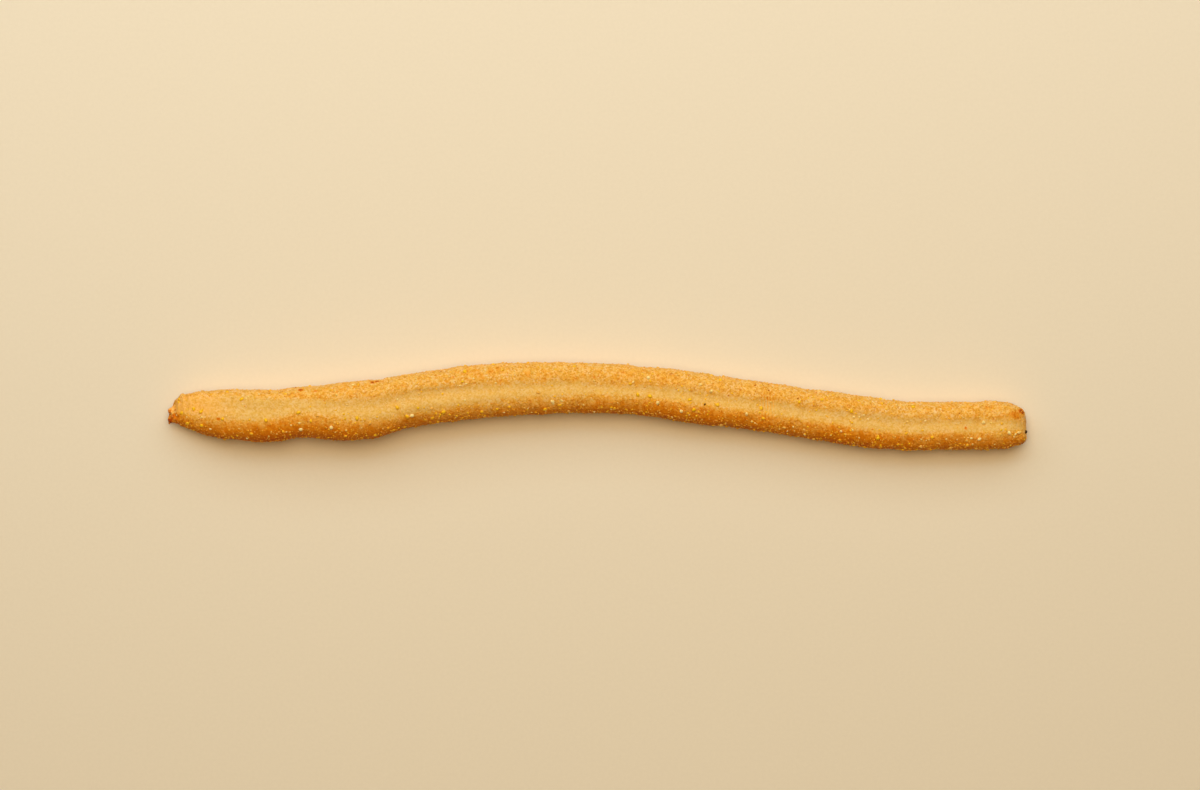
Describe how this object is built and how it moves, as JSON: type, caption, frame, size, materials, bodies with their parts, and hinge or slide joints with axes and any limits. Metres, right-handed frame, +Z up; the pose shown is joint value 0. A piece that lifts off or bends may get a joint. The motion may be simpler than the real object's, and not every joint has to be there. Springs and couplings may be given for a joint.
{
  "type": "breadstick",
  "caption": "Long, slightly wavy hand-stretched breadstick with a furrow along its top, a torn tapered end, a blunt end and cornmeal grains on its crust.",
  "frame": {"origin": "middle of the stick's box, on the surface that it lies on", "axes": "+X along the stick from its torn end to its cut end, +Y across it, +Z up"},
  "size_m": [0.22, 0.0227, 0.0127],
  "materials": {
    "baked_crust": "matt golden baked crust with cornmeal"
  },
  "bodies": {
    "root": {"breadstick": "baked_crust"}
  },
  "joints": []
}
